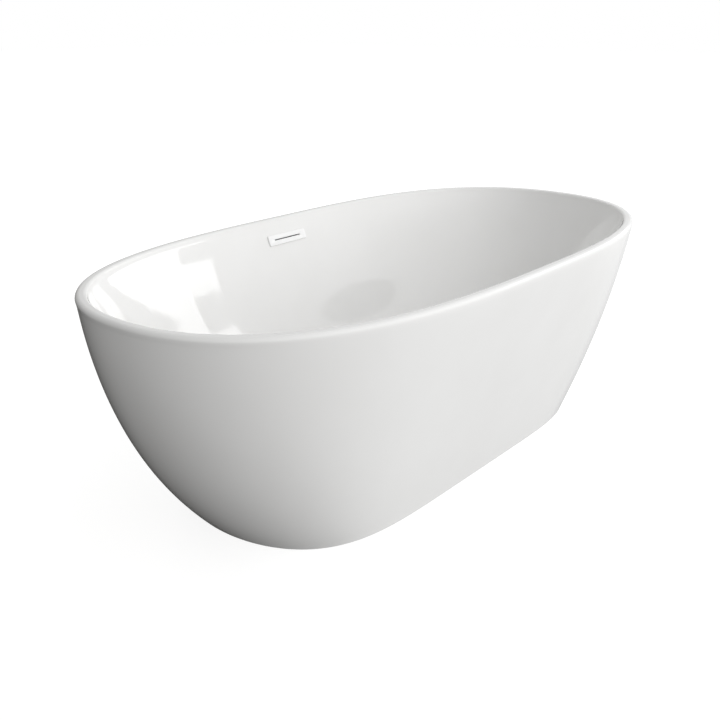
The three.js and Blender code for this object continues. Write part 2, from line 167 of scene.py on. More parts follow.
def addNoise(tree, scale, detail=3.0, roughness=0.5, stretch=(1, 1, 1)):
    coordinates = tree.nodes.new("ShaderNodeTexCoord")
    mapping = tree.nodes.new("ShaderNodeMapping")
    mapping.inputs["Scale"].default_value = stretch
    noise = tree.nodes.new("ShaderNodeTexNoise")
    noise.inputs["Scale"].default_value = scale
    noise.inputs["Detail"].default_value = detail
    noise.inputs["Roughness"].default_value = roughness
    tree.links.new(coordinates.outputs["Object"], mapping.inputs["Vector"])
    tree.links.new(mapping.outputs["Vector"], noise.inputs["Vector"])
    return noise.outputs["Fac"]


def rampColours(tree, factor, low, high, lowAt=0.3, highAt=0.7):
    ramp = tree.nodes.new("ShaderNodeValToRGB")
    ramp.color_ramp.elements[0].position = lowAt
    ramp.color_ramp.elements[0].color = (*low, 1)
    ramp.color_ramp.elements[1].position = highAt
    ramp.color_ramp.elements[1].color = (*high, 1)
    tree.links.new(factor, ramp.inputs["Fac"])
    return ramp.outputs["Color"]


def rampValues(tree, factor, low, high):
    spread = tree.nodes.new("ShaderNodeMapRange")
    spread.inputs["From Min"].default_value = 0.3
    spread.inputs["From Max"].default_value = 0.7
    spread.inputs["To Min"].default_value = low
    spread.inputs["To Max"].default_value = high
    tree.links.new(factor, spread.inputs["Value"])
    return spread.outputs["Result"]


# Base colour and roughness from two patterns
def dressShader(tree, shader, colour, roughness):
    tree.links.new(colour, shader.inputs["Base Color"])
    tree.links.new(roughness, shader.inputs["Roughness"])


def addBump(tree, shader, height, strength, distance):
    bump = tree.nodes.new("ShaderNodeBump")
    bump.inputs["Strength"].default_value = strength
    bump.inputs["Distance"].default_value = distance
    tree.links.new(height, bump.inputs["Height"])
    tree.links.new(bump.outputs["Normal"], shader.inputs["Normal"])


acrylicLook = {
    "low": (0.870, 0.868, 0.858),
    "high": (0.895, 0.894, 0.886),
    "roughLow": 0.035,
    "roughHigh": 0.06,
    "coat": 0.35,
    "waviness": 0.00035,
}


def makeAcrylic(look):
    material, tree, shader = newMaterial("glossAcrylic")
    colour = rampColours(tree, addNoise(tree, 4.0), look["low"], look["high"])
    smear = addNoise(tree, 22.0, 4.0, 0.6, (1, 1, 0.35))
    dressShader(tree, shader, colour, rampValues(tree, smear, look["roughLow"], look["roughHigh"]))
    shader.inputs["IOR"].default_value = 1.49
    shader.inputs["Coat Weight"].default_value = look["coat"]
    shader.inputs["Coat Roughness"].default_value = 0.03
    addBump(tree, shader, addNoise(tree, 9.0, 2.0), 1.0, look["waviness"])
    return material


plasticLook = {
    "white": {"low": (0.95, 0.95, 0.95), "high": (0.97, 0.97, 0.97), "rough": (0.14, 0.22)},
    "grey": {"low": (0.16, 0.165, 0.17), "high": (0.21, 0.215, 0.22), "rough": (0.42, 0.55)},
    "black": {"low": (0.012, 0.012, 0.013), "high": (0.03, 0.03, 0.03), "rough": (0.65, 0.85)},
}


def makeMoulded(name, look, grain=600.0, depth=0.00003):
    material, tree, shader = newMaterial(name)
    colour = rampColours(tree, addNoise(tree, 35.0), look["low"], look["high"])
    dressShader(tree, shader, colour, rampValues(tree, addNoise(tree, 60.0), *look["rough"]))
    addBump(tree, shader, addNoise(tree, grain, 2.0), 0.6, depth)
    return material


metalLook = {
    "galvanised": {"low": (0.36, 0.38, 0.39), "high": (0.56, 0.58, 0.59), "rough": (0.32, 0.55), "scale": 55},
    "zinc": {"low": (0.58, 0.59, 0.60), "high": (0.70, 0.71, 0.72), "rough": (0.22, 0.38), "scale": 140},
    "chrome": {"low": (0.76, 0.77, 0.79), "high": (0.84, 0.85, 0.86), "rough": (0.04, 0.10), "scale": 60},
}


def makeMetal(name, look):
    material, tree, shader = newMaterial(name)
    shader.inputs["Metallic"].default_value = 1.0
    colour = rampColours(tree, addNoise(tree, look["scale"], 1.0), look["low"], look["high"])
    roughness = rampValues(tree, addNoise(tree, look["scale"] * 2.5), *look["rough"])
    dressShader(tree, shader, colour, roughness)
    addBump(tree, shader, addNoise(tree, 420.0, 2.0), 0.4, 0.00002)
    return material


boardLook = {
    "chips": {"low": (0.30, 0.20, 0.11), "high": (0.62, 0.48, 0.30), "scale": 160.0},
    "laminate": {"low": (0.44, 0.41, 0.32), "high": (0.68, 0.65, 0.54), "scale": 90.0},
}


def makeRough(name, look, stretch):
    material, tree, shader = newMaterial(name)
    flakes = addNoise(tree, look["scale"], 4.0, 0.7, stretch)
    colour = rampColours(tree, flakes, look["low"], look["high"])
    dressShader(tree, shader, colour, rampValues(tree, flakes, 0.7, 0.95))
    addBump(tree, shader, flakes, 0.8, 0.0004)
    return material


finishes = {
    "white_acrylic": makeAcrylic(acrylicLook),
    "white_plastic": makeMoulded("whiteMoulded", plasticLook["white"]),
    "grey_plastic": makeMoulded("greyMoulded", plasticLook["grey"]),
    "black_rubber": makeMoulded("blackRubber", plasticLook["black"], 350.0, 0.00008),
    "galvanised_steel": makeMetal("galvanisedSteel", metalLook["galvanised"]),
    "zinc_plated_steel": makeMetal("zincPlatedSteel", metalLook["zinc"]),
    "chromed_brass": makeMetal("chromedBrass", metalLook["chrome"]),
    "chipboard": makeRough("chipboard", boardLook["chips"], (1, 1, 3)),
    "laminate": makeRough("glassLaminate", boardLook["laminate"], (1, 1, 1)),
}
print("finishes made:", len(finishes))


# A finished piece: its body, the CAD node it stands for, and its finish
def fitPiece(piece, body, slot, *nodes):
    piece.data.materials.clear()
    piece.data.materials.append(finishes[slot])
    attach(piece, body)
    if nodes:
        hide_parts(*nodes)
    return piece


# Tub shells: level outlines of |x/a|^nx + |y/b|^ny = 1, from the floor to the rim

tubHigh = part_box("basin")[1]
tubShape = {
    "halfLength": tubHigh.x,
    "halfWidth": tubHigh.y,
    "height": tubHigh.z,
    "sheet": 0.005,
    "lip": 0.022,
    "rimWidth": 0.024,
    "rimOuter": 0.010,
    "rimInner": 0.008,
    "baseLength": 0.624,
    "baseWidth": 0.282,
    "lengthPulls": ((0.847, 0.247), (0.842, 0.529)),
    "widthPulls": ((0.370, 0.324), (0.430, 0.529)),
    "rimPowers": (3.09, 2.22),
    "basePowers": (5.68, 2.0),
    "powerBlend": 0.765,
    "around": 240,
}
wellShape = {
    "floor": 0.130,
    "flatLength": 0.430,
    "flatWidth": 0.150,
    "lengthPulls": (0.640, 0.749),
    "widthPulls": (0.265, 0.318),
    "upperPull": 0.330,
    "steps": 64,
}
drainShape = {"rim": 0.040, "seat": 0.037, "hole": 0.026, "fall": 0.003, "recess": 0.0035}
openingShape = {"width": 0.113, "height": 0.017, "corner": 0.003}
outerTop = tubShape["height"] - tubShape["rimOuter"]
wellTop = tubShape["height"] - tubShape["rimInner"]


def bezier(p0, p1, p2, p3, t):
    s = 1 - t
    return s * s * s * p0 + 3 * s * s * t * p1 + 3 * s * t * t * p2 + t * t * t * p3


def valueAtHeight(base, pulls, top, height):
    low, high = 0.0, 1.0
    for step in range(40):
        middle = (low + high) / 2
        if bezier(0, pulls[0][1], pulls[1][1], outerTop, middle) < height:
            low = middle
        else:
            high = middle
    return bezier(base, pulls[0][0], pulls[1][0], top, (low + high) / 2)


def mix(low, high, share):
    return low + (high - low) * share


def outerLevel(height, inset=0.0):
    level = min(height, outerTop)
    share = (level / outerTop) ** tubShape["powerBlend"]
    a = valueAtHeight(tubShape["baseLength"], tubShape["lengthPulls"], tubShape["halfLength"], level)
    b = valueAtHeight(tubShape["baseWidth"], tubShape["widthPulls"], tubShape["halfWidth"], level)
    powers = [mix(low, high, share) for low, high in zip(tubShape["basePowers"], tubShape["rimPowers"])]
    return (a - inset, b - inset, height, *powers)


def levelRing(level):
    a, b, height, nx, ny = level
    ring = []
    count = tubShape["around"]
    for index in range(count):
        angle = 2 * math.pi * index / count
        cosine = math.cos(angle)
        across = max(0.0, 1 - abs(cosine) ** nx) ** (1 / ny)
        ring.append(Vector((a * cosine, math.copysign(b * across, math.sin(angle)), height)))
    return ring


# Rings pushed back by the sheet's thickness
def pushRings(rings, distance):
    pushed = []
    last = len(rings) - 1
    count = len(rings[0])
    for row, ring in enumerate(rings):
        above, below = rings[min(row + 1, last)], rings[max(row - 1, 0)]
        pushed.append([])
        for column, point in enumerate(ring):
            along = above[column] - below[column]
            around = ring[(column + 1) % count] - ring[column - 1]
            pushed[-1].append(point + along.cross(around).normalized() * distance)
    return pushed


def rimLevels():
    levels = [outerLevel(tubShape["height"] - tubShape["lip"])]
    levels.append(outerLevel(tubShape["height"] - tubShape["lip"] * 0.75))
    outer, inner, width = tubShape["rimOuter"], tubShape["rimInner"], tubShape["rimWidth"]
    for step in range(11):
        angle = math.radians(9 * step)
        levels.append(outerLevel(outerTop + outer * math.sin(angle), outer * (1 - math.cos(angle))))
    for step in range(8):
        angle = math.radians(10 * step)
        inset = width - inner * (1 - math.sin(angle))
        levels.append(outerLevel(wellTop + inner * math.cos(angle), inset))
    return levels


def wellLevel(t):
    topLength = tubShape["halfLength"] - tubShape["rimWidth"]
    topWidth = tubShape["halfWidth"] - tubShape["rimWidth"]
    a = bezier(wellShape["flatLength"], *wellShape["lengthPulls"], topLength, t)
    b = bezier(wellShape["flatWidth"], *wellShape["widthPulls"], topWidth, t)
    height = bezier(wellShape["floor"], wellShape["floor"], wellShape["upperPull"], wellTop, t)
    return (a, b, height, *tubShape["rimPowers"])


# The floor falls to the drain's round rim, then steps down into the recess
def floorLevels():
    rim, seat = drainShape["rim"], drainShape["seat"]
    rimHeight = wellShape["floor"] - drainShape["fall"]
    seatHeight = rimHeight - drainShape["recess"]
    drainRim = (rim, rim, rimHeight, 2, 2)
    levels = []
    for step in range(1, 13):
        levels.append(tuple(mix(low, high, step / 12) for low, high in zip(wellLevel(0), drainRim)))
    recess = [(seat + 0.0022, rimHeight - 0.0004), (seat + 0.0006, seatHeight + 0.0009)]
    recess += [(seat, seatHeight + 0.0003), (seat - 0.001, seatHeight), (drainShape["hole"], seatHeight)]
    return levels + [(radius, radius, height, 2, 2) for radius, height in recess]


# Place of the overflow on the wall: +Y is the wall's outward normal and +Z runs up the wall
def overflowPlace():
    low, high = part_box("overflow_plate")
    middle = (low.z + high.z) / 2
    t = 1.0
    while wellLevel(t)[2] > middle:
        t -= 0.0005
    ahead, behind = wellLevel(t + 0.01), wellLevel(t - 0.01)
    lean = math.atan2(ahead[1] - behind[1], ahead[2] - behind[2])
    seat = Vector((0, wellLevel(t)[1], wellLevel(t)[2]))
    return Matrix.Translation(seat) @ Matrix.Rotation(-lean, 4, "X")


overflowSeat = overflowPlace()


def roundedRing(width, height, corner, depth, perCorner=8):
    ring = []
    for centreX, centreZ, start in ((1, -1, -90), (1, 1, 0), (-1, 1, 90), (-1, -1, 180)):
        centre = (centreX * (width / 2 - corner), centreZ * (height / 2 - corner))
        ring += [Vector((x, depth, z)) for x, z in arcPoints(centre, corner, start, start + 90, perCorner)]
    return ring


def makeBasin():
    levels = rimLevels()
    levels += [wellLevel(1 - step / wellShape["steps"]) for step in range(wellShape["steps"] + 1)]
    levels += floorLevels()
    face = [levelRing(level) for level in levels]
    back = pushRings(face, tubShape["sheet"])
    basin = skinRings("basinShell", face + back[::-1])
    width, height, corner = (openingShape[key] for key in ("width", "height", "corner"))
    rings = [roundedRing(width, height, corner, depth) for depth in (0.02, -0.015)]
    cutter = placeIn(overflowSeat, skinRings("openingCutter", rings, False))
    combine(basin, cutter, "DIFFERENCE")
    fitPiece(basin, "tub", "white_acrylic", "basin")


def makeSkirt():
    top = tubShape["height"] - tubShape["lip"]
    heights = [top * (step / 48) for step in range(49)]
    face = [levelRing(outerLevel(height)) for height in heights]
    back = [levelRing(outerLevel(height, tubShape["sheet"])) for height in heights]
    fitPiece(skinRings("skirtShell", face + back[::-1]), "tub", "white_acrylic", "skirt")


makeBasin()
makeSkirt()
print("shells made")


# Overflow plate: a rounded face with a slot, and a collar through the wall

plateShape = {
    "width": 0.142, "height": 0.028, "corner": 0.002, "proud": 0.004, "edge": 0.0008,
    "slotWidth": 0.100, "slotHeight": 0.0028,
    "collarWidth": 0.112, "collarHeight": 0.016, "collarWall": 0.0025, "collarEnd": 0.011,
}


def makeOverflowPlate(shape):
    width, height, corner = shape["width"], shape["height"], shape["corner"]
    front, edge = -shape["proud"], shape["edge"]
    rings = [roundedRing(width, height, corner, -0.0003)]
    for step in range(6):
        angle = math.radians(18 * step)
        inset = edge * (1 - math.cos(angle))
        depth = front + edge * (1 - math.sin(angle))
        rings.append(roundedRing(width - 2 * inset, height - 2 * inset, corner - inset, depth))
    slotW, slotH = shape["slotWidth"], shape["slotHeight"]
    for inset, depth in ((0.0004, front), (0.0001, front + 0.0001), (0.0, front + 0.0004), (0.0, -0.0008)):
        corner = (slotH + 2 * inset) / 2 - 0.0001
        rings.append(roundedRing(slotW + 2 * inset, slotH + 2 * inset, corner, depth))
    outerW, outerH, wall = shape["collarWidth"], shape["collarHeight"], shape["collarWall"]
    for depth in (-0.0008, shape["collarEnd"]):
        rings.append(roundedRing(outerW - 2 * wall, outerH - 2 * wall, 0.002, depth))
    for depth in (shape["collarEnd"], -0.0003):
        rings.append(roundedRing(outerW, outerH, 0.0025, depth))
    plate = placeIn(overflowSeat, skinRings("overflowPlate", rings))
    fitPiece(plate, "tub", "white_plastic", "overflow_plate")


makeOverflowPlate(plateShape)
print("overflow made")


# Drain: flange with a threaded barrel, and the stopper that lifts out of it

drainFit = {
    "barrel": 0.024,
    "bore": 0.020,
    "threadPitch": 0.002,
    "threadDepth": 0.0007,
    "flangeThick": 0.0022,
    "sealInner": 0.012,
    "capEdge": 0.0014,
}


def threadProfile(radius, low, high, pitch, depth):
    turns = int((high - low) / pitch)
    profile = []
    for turn in range(turns):
        base = low + turn * pitch
        profile += [(radius - depth, base), (radius, base + pitch * 0.38), (radius, base + pitch * 0.55)]
    return profile + [(radius - depth, low + turns * pitch)]


def makeFlange(fit):
    low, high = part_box("drain_flange")
    edge, top = high.x, high.z
    under = top - fit["flangeThick"]
    profile = [(fit["bore"], low.z)]
    profile += threadProfile(fit["barrel"], low.z, under - 0.004, fit["threadPitch"], fit["threadDepth"])
    profile += [(fit["barrel"], under), (edge - 0.0004, under)]
    profile += arcPoints((edge - 0.0005, under + 0.0005), 0.0005, -60, 70, 5)
    profile += [(0.0325, top - 0.0003), (0.0305, top - 0.00004), (0.0285, top)]
    profile += [(0.0262, top - 0.0001), (0.0250, top - 0.0006), (0.0240, top - 0.0015)]
    profile += [(0.0222, under + 0.0002), (0.0208, under - 0.0003), (fit["bore"], under - 0.0012)]
    fitPiece(turnedPiece("drainFlange", profile), "tub", "chromed_brass", "drain_flange")


def makeStopper(fit):
    low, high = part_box("stopper_cap")
    edge = fit["capEdge"]
    profile = [(axisGap, low.z), (high.x - 0.0085, low.z), (high.x - 0.0078, low.z + 0.0004)]
    profile += [(high.x - 0.0062, low.z + 0.0004), (high.x - 0.0055, low.z)]
    profile += arcPoints((high.x - edge, low.z + edge), edge, -90, 40, 10)
    rim = profile[-1]
    for step in range(1, 17):
        share = math.radians(90 * step / 16)
        profile.append((max(axisGap, rim[0] * math.cos(share)), mix(rim[1], high.z, math.sin(share))))
    fitPiece(turnedPiece("stopperCap", profile, False), "stopper", "white_plastic", "stopper_cap")

    low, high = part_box("stopper_seal")
    inner, lip = fit["sealInner"], high.x
    profile = [(inner, low.z), (lip - 0.0016, low.z), (lip - 0.0004, low.z + 0.0003)]
    profile += [(lip, mix(low.z, high.z, 0.5)), (lip - 0.0005, high.z - 0.0003)]
    profile += [(lip - 0.0018, high.z), (inner, high.z)]
    fitPiece(turnedPiece("stopperSeal", profile), "stopper", "black_rubber", "stopper_seal")

    low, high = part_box("stopper_stem")
    radius = high.x
    profile = [(axisGap, low.z), (radius - 0.0007, low.z), (radius, low.z + 0.0007)]
    profile += threadProfile(radius, low.z + 0.002, low.z + 0.012, 0.001, 0.0004)
    profile += [(radius, low.z + 0.013), (radius, high.z), (axisGap, high.z)]
    fitPiece(turnedPiece("stopperStem", profile, False, 48), "stopper", "chromed_brass", "stopper_stem")

    low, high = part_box("stopper_cartridge")
    inner, sleeve, head = 0.0035, 0.0060, high.x
    profile = [(inner, low.z), (sleeve - 0.0006, low.z)]
    profile += threadProfile(sleeve, low.z + 0.001, high.z - 0.004, 0.0015, 0.0003)
    profile += [(sleeve, high.z - 0.003), (head, high.z - 0.003), (head, high.z - 0.0005)]
    profile += [(head - 0.0005, high.z), (inner, high.z)]
    fitPiece(turnedPiece("stopperCartridge", profile, True, 48), "tub", "white_plastic", "stopper_cartridge")


makeFlange(drainFit)
makeStopper(drainFit)
print("drain made")


# Levelling feet, nuts and screws

footFit = {
    "stud": 0.006, "pitch": 0.00175, "depth": 0.0009, "socketDepth": 0.008,
    "flats": 0.018, "bore": 0.0065, "chamfer": 0.0011,
}
outletFit = {"flats": 0.052, "bore": 0.0212, "chamfer": 0.0018}


def boxMiddle(node):
    low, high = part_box(node)
    return Vector(((low.x + high.x) / 2, (low.y + high.y) / 2, 0)), low.z, high.z


# Chamfered six-sided nut over the node's height
def nutPiece(name, node, fit):
    place, low, high = boxMiddle(node)
    half, chamfer = fit["flats"] / 2, fit["chamfer"]

    def ring(height, most):
        points = []
        for index in range(96):
            angle = 2 * math.pi * index / 96
            away = math.radians(math.degrees(angle) % 60 - 30)
            radius = min(half / math.cos(away), most)
            points.append(place + Vector((radius * math.cos(angle), radius * math.sin(angle), height)))
        return points

    corner = half / math.cos(math.radians(30))
    bore, eased = fit["bore"], 0.0005
    rings = [ring(low, half * 0.96), ring(low + chamfer * 0.25, half), ring(low + chamfer, corner)]
    rings += [ring(high - chamfer, corner), ring(high - chamfer * 0.25, half), ring(high, half * 0.96)]
    rings += [ring(high, bore + eased), ring(high - eased, bore)]
    rings += [ring(low + eased, bore), ring(low, bore + eased)]
    return skinRings(name, rings, True, 25)


def makeFoot(number, fit):
    body = f"foot_{number}_height_body"
    place, low, high = boxMiddle(f"foot_{number}_pad")
    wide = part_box(f"foot_{number}_pad")[1].x - place.x
    socket, socketFloor = fit["stud"] + 0.0005, low + fit["socketDepth"]
    profile = [(axisGap, low), (wide - 0.0036, low), (wide - 0.0030, low + 0.0006)]
    profile += [(wide - 0.0018, low + 0.0006), (wide - 0.0012, low), (wide - 0.0006, low)]
    profile += [(wide, low + 0.0008), (wide, low + 0.0034)]
    profile += arcPoints((wide - 0.0008, low + 0.0034), 0.0008, 20, 65, 3)
    profile += [(0.0150, high - 0.0040), (0.0125, high - 0.0026), (0.0115, high - 0.0006), (0.0110, high)]
    profile += [(socket + 0.0006, high), (socket, high - 0.0006), (socket, socketFloor)]
    profile.append((axisGap, socketFloor))
    pad = turnedPiece(f"foot{number}Pad", profile, False, 64, place)
    fitPiece(pad, body, "black_rubber", f"foot_{number}_pad")

    place, low, high = boxMiddle(f"foot_{number}_stud")
    radius = fit["stud"]
    profile = [(axisGap, low), (radius - 0.0010, low)]
    profile += threadProfile(radius, low + 0.008, high - 0.0015, fit["pitch"], fit["depth"])
    profile += [(radius - 0.0018, high), (axisGap, high)]
    stud = turnedPiece(f"foot{number}Stud", profile, False, 32, place)
    fitPiece(stud, f"foot_{number}_screw_body", "zinc_plated_steel", f"foot_{number}_stud")

    for kind in ("weld", "lock"):
        node = f"foot_{number}_{kind}_nut"
        fitPiece(nutPiece(f"foot{number}{kind.title()}Nut", node, fit), "tub", "zinc_plated_steel", node)


def makeScrew(number):
    node = f"rail_screw_{number}"
    place, low, high = boxMiddle(node)
    profile = [(axisGap, low + 0.0012), (0.0014, low + 0.0012), (0.0018, low), (0.0036, low)]
    profile += [(0.0044, low + 0.0008), (0.0048, low + 0.0026), (0.0048, low + 0.003), (0.0018, low + 0.003)]
    profile += threadProfile(0.002, low + 0.006, high - 0.003, 0.0016, 0.0005) + [(axisGap, high)]
    screw = turnedPiece(f"railScrew{number}", profile, False, 32, place)
    fitPiece(screw, "tub", "zinc_plated_steel", node)


for number in range(1, 6):
    makeFoot(number, footFit)
for number in range(1, 5):
    makeScrew(number)
fitPiece(nutPiece("outletNut", "outlet_nut", outletFit), "tub", "grey_plastic", "outlet_nut")
print("feet, nuts and screws made")


# Overflow hose, its clips, and the waste body that it runs into

hoseFit = {
    "outer": 0.011, "groove": 0.0099, "inner": 0.009, "pitch": 0.005, "cuff": 0.022, "sides": 24,
    "nippleOut": 0.0205, "start": -0.092, "second": -0.118,
    "route": ((0.337, 0.300), (0.301, 0.200), (0.250, 0.118), (0.178, 0.072), (0.100, 0.062), (0.034, 0.062)),
}
clipFit = {
    "inner": 0.0116, "band": 0.0008, "width": 0.008, "onDuct": -0.102, "onInlet": 0.046,
    "housingWide": 0.0073, "housingTall": 0.0092, "housingOut": 0.0158, "screwOut": 0.0162,
}
wasteFit = {
    "spigot": 0.020, "spigotBore": 0.017, "chamber": 0.031, "chamberLow": 0.044, "chamberFloor": 0.050,
    "chamberBore": 0.022, "collar": 0.006, "seatBore": 0.0243, "seatLow": 0.088, "threadPitch": 0.003,
    "inlet": 0.0082, "inletStart": 0.024, "inletLevel": 0.062, "inletBore": 0.0064, "boreStart": 0.014,
    "boss": 0.0125, "bossEnd": 0.0325, "barbs": (0.040, 0.047),
}
levelTurn = Matrix.Rotation(math.radians(-90), 4, "X")


# Even steps along a centripetal curve through the points
def smoothRoute(points, gap):
    ends = [points[0] * 2 - points[1], *points, points[-1] * 2 - points[-2]]
    spans = (((0, 1), (1, 2), (2, 3)), ((0, 2), (1, 3)), ((1, 2),))
    dense = []
    for layer in zip(ends, ends[1:], ends[2:], ends[3:]):
        knots = [0.0]
        for near, far in zip(layer, layer[1:]):
            knots.append(knots[-1] + math.sqrt((far - near).length))
        for step in range(100):
            t = mix(knots[1], knots[2], step / 100)
            blend = layer
            for span in spans:
                shares = [(t - knots[first]) / (knots[last] - knots[first]) for first, last in span]
                blend = [mix(near, far, share) for near, far, share in zip(blend, blend[1:], shares)]
            dense.append(blend[0])
    dense.append(points[-1])
    lengths = [0.0]
    for near, far in zip(dense, dense[1:]):
        lengths.append(lengths[-1] + (far - near).length)
    count = round(lengths[-1] / gap)
    route, place = [], 0
    for step in range(count + 1):
        goal = lengths[-1] * step / count
        while place < len(lengths) - 2 and lengths[place + 1] < goal:
            place += 1
        share = (goal - lengths[place]) / (lengths[place + 1] - lengths[place])
        route.append(mix(dense[place], dense[place + 1], share))
    return route


# Ribbed hose with a smooth cuff at each end; its route is (y, z) points in the plane x = 0
def makeHose(fit):
    points = [overflowSeat @ Vector((0, fit["nippleOut"], fit[key])) for key in ("start", "second")]
    points += [Vector((0, y, z)) for y, z in fit["route"]]
    perRib = 6
    gap = fit["pitch"] / perRib
    route = smoothRoute(points, gap)
    last = len(route) - 1
    cuff = round(fit["cuff"] / gap)
    outer, inner = [], []
    for index, point in enumerate(route):
        along = (route[min(index + 1, last)] - route[max(index - 1, 0)]).normalized()
        place = Matrix((Vector((1, 0, 0)), along.cross(Vector((1, 0, 0))), along)).transposed()
        wave = math.sin(math.pi * ((index - cuff) % perRib) / perRib)
        radius = mix(fit["groove"], fit["outer"], wave) if cuff <= index <= last - cuff else fit["outer"]
        outer.append([point + place @ spot for spot in circleRing(radius, 0, fit["sides"])])
        if index % perRib == 0 or index == last:
            inner.append([point + place @ spot for spot in circleRing(fit["inner"], 0, fit["sides"])])
    hose = skinRings("overflowHose", outer + inner[::-1], True, 80)
    fitPiece(hose, "tub", "grey_plastic", "overflow_hose")


# Worm-drive clip: a band with rolled edges, the screw's housing and the screw
def makeClip(name, node, place, fit):
    inner, outer, half = fit["inner"], fit["inner"] + fit["band"], fit["width"] / 2
    rolled = outer + 0.0003
    profile = [(inner, -half), (rolled, -half), (rolled, -half + 0.0008), (outer, -half + 0.0012)]
    profile += [(outer, half - 0.0012), (rolled, half - 0.0008), (rolled, half), (inner, half)]
    clip = turnedPiece(name, profile, True, 48)
    wide, tall = fit["housingWide"], fit["housingTall"]
    rings = []
    for inset, depth in ((0.0008, 0.006), (0.0, 0.0052), (0.0, -0.0052), (0.0008, -0.006)):
        rings.append(roundedRing(wide - inset, tall - inset, 0.002, depth))
    housing = skinRings("housing", rings, False)
    placeIn(Matrix.Translation((fit["housingOut"], 0, 0)), housing)
    combine(clip, housing, "UNION")
    profile = [(axisGap, -0.0082), (0.0024, -0.0082), (0.0028, -0.0078), (0.0028, 0.0068), (0.0042, 0.0068)]
    profile += [(0.0042, 0.0098), (0.0036, 0.0104), (0.0016, 0.0104), (0.0016, 0.0092), (axisGap, 0.0092)]
    screw = turnedPiece("screw", profile, False, 24)
    placeIn(Matrix.Translation((fit["screwOut"], 0, 0)) @ levelTurn.inverted(), screw)
    combine(clip, screw, "UNION")
    fitPiece(placeIn(place, clip), "tub", "zinc_plated_steel", node)


def makeClips(fit):
    upper = overflowSeat @ Matrix.Translation((0, hoseFit["nippleOut"], fit["onDuct"]))
    lower = Matrix.Translation((0, fit["onInlet"], wasteFit["inletLevel"])) @ levelTurn
    makeClip("hoseClipUpper", "hose_clip_upper", upper, fit)
    makeClip("hoseClipLower", "hose_clip_lower", lower, fit)


def makeWasteBody(fit):
    low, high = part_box("waste_body")
    spigot, chamber, collar = fit["spigot"], fit["chamber"], high.x
    chamberLow, collarLow = fit["chamberLow"], high.z - fit["collar"]
    profile = [(axisGap, low.z), (spigot - 0.0012, low.z)]
    profile += threadProfile(spigot, low.z + 0.0012, chamberLow - 0.002, fit["threadPitch"], 0.0010)
    profile += [(spigot - 0.001, chamberLow - 0.001), (spigot, chamberLow), (chamber - 0.004, chamberLow)]
    profile += arcPoints((chamber - 0.004, chamberLow + 0.004), 0.004, -75, 0, 5)
    profile += [(chamber, collarLow - 0.002), (chamber + 0.0006, collarLow - 0.0006)]
    profile += [(chamber + 0.002, collarLow), (collar - 0.0008, collarLow), (collar, collarLow + 0.0008)]
    profile += [(collar, high.z - 0.0006), (collar - 0.0006, high.z), (axisGap, high.z)]
    body = turnedPiece("wasteBody", profile, False, 96)

    # Inlet for the overflow hose, with two barbs
    boss, bossEnd, inlet, start = fit["boss"], fit["bossEnd"], fit["inlet"], fit["inletStart"]
    profile = [(axisGap, start), (boss, start), (boss, bossEnd - 0.001)]
    profile += [(boss - 0.001, bossEnd), (inlet, bossEnd)]
    for barb in fit["barbs"]:
        profile += [(inlet, barb), (inlet + 0.0005, barb + 0.0004), (inlet, barb + 0.004)]
    profile += [(inlet, high.y - 0.0006), (inlet - 0.0006, high.y), (axisGap, high.y)]
    level = Matrix.Translation((0, 0, fit["inletLevel"])) @ levelTurn
    combine(body, placeIn(level, turnedPiece("inlet", profile, False, 48)), "UNION")

    below, above = low.z - 0.002, high.z + 0.002
    profile = [(axisGap, below), (fit["spigotBore"], below), (fit["spigotBore"], fit["chamberFloor"])]
    profile += [(fit["chamberBore"], fit["chamberFloor"]), (fit["chamberBore"], fit["seatLow"])]
    profile += [(fit["seatBore"], fit["seatLow"]), (fit["seatBore"], above), (axisGap, above)]
    hollow = turnedPiece("wasteHollow", profile, False, 96)
    start, end, bore = fit["boreStart"], high.y + 0.002, fit["inletBore"]
    profile = [(axisGap, start), (bore, start), (bore, end), (axisGap, end)]
    combine(hollow, placeIn(level, turnedPiece("inletBore", profile, False, 48)), "UNION")
    combine(body, hollow, "DIFFERENCE")
    fitPiece(body, "tub", "grey_plastic", "waste_body")


makeHose(hoseFit)
makeClips(clipFit)
makeWasteBody(wasteFit)
print("hose, clips and waste body made")


# CAD nodes that stay, each with its slot's finish

def finishCadNodes():
    slots = {row["node"]: row["material_slot"] for row in frame["record"]["subparts"]}
    for node, piece in frame["nodes"].items():
        for index in range(len(piece.material_slots)):
            piece.material_slots[index].material = finishes[slots[node]]


finishCadNodes()


# Studio: a pale floor in white surroundings, lit softly from the front and the right

studio = {
    "floorSize": 60.0,
    "floorTone": (0.90, 0.90, 0.89),
    "floorGlow": 0.84,
    "floorShare": 0.30,
    "brightSide": (0.52, -0.72, 0.46),
    "lightBase": 0.64,
    "lightSwing": 0.86,
    "overheadDip": 0.50,
    "lightLeast": 0.04,
    "lightWarmth": (1.0, 0.975, 0.93),
}
softLights = {
    "window": {
        "azimuth": 75.0, "elevation": 13.9, "wide": 36.0, "high": 8.4,
        "roll": -10.0, "radiance": 2.6, "seen": True,
    },
    "windowSide": {
        "azimuth": 53.8, "elevation": 15.5, "wide": 6.8, "high": 2.8,
        "roll": -9.0, "radiance": 2.6, "seen": True,
    },
    "front": {
        "azimuth": 28.0, "elevation": 2.0, "wide": 60.0, "high": 22.0,
        "roll": 0.0, "radiance": 0.8, "seen": False,
    },
    "left": {
        "azimuth": -100.0, "elevation": 32.0, "wide": 40.0, "high": 30.0,
        "roll": 0.0, "radiance": 1.5, "seen": False,
    },
    "rear": {
        "azimuth": 162.0, "elevation": 30.0, "wide": 36.0, "high": 22.0,
        "roll": 0.0, "radiance": 2.8, "seen": False,
    },
}
lightDistance = 20.0


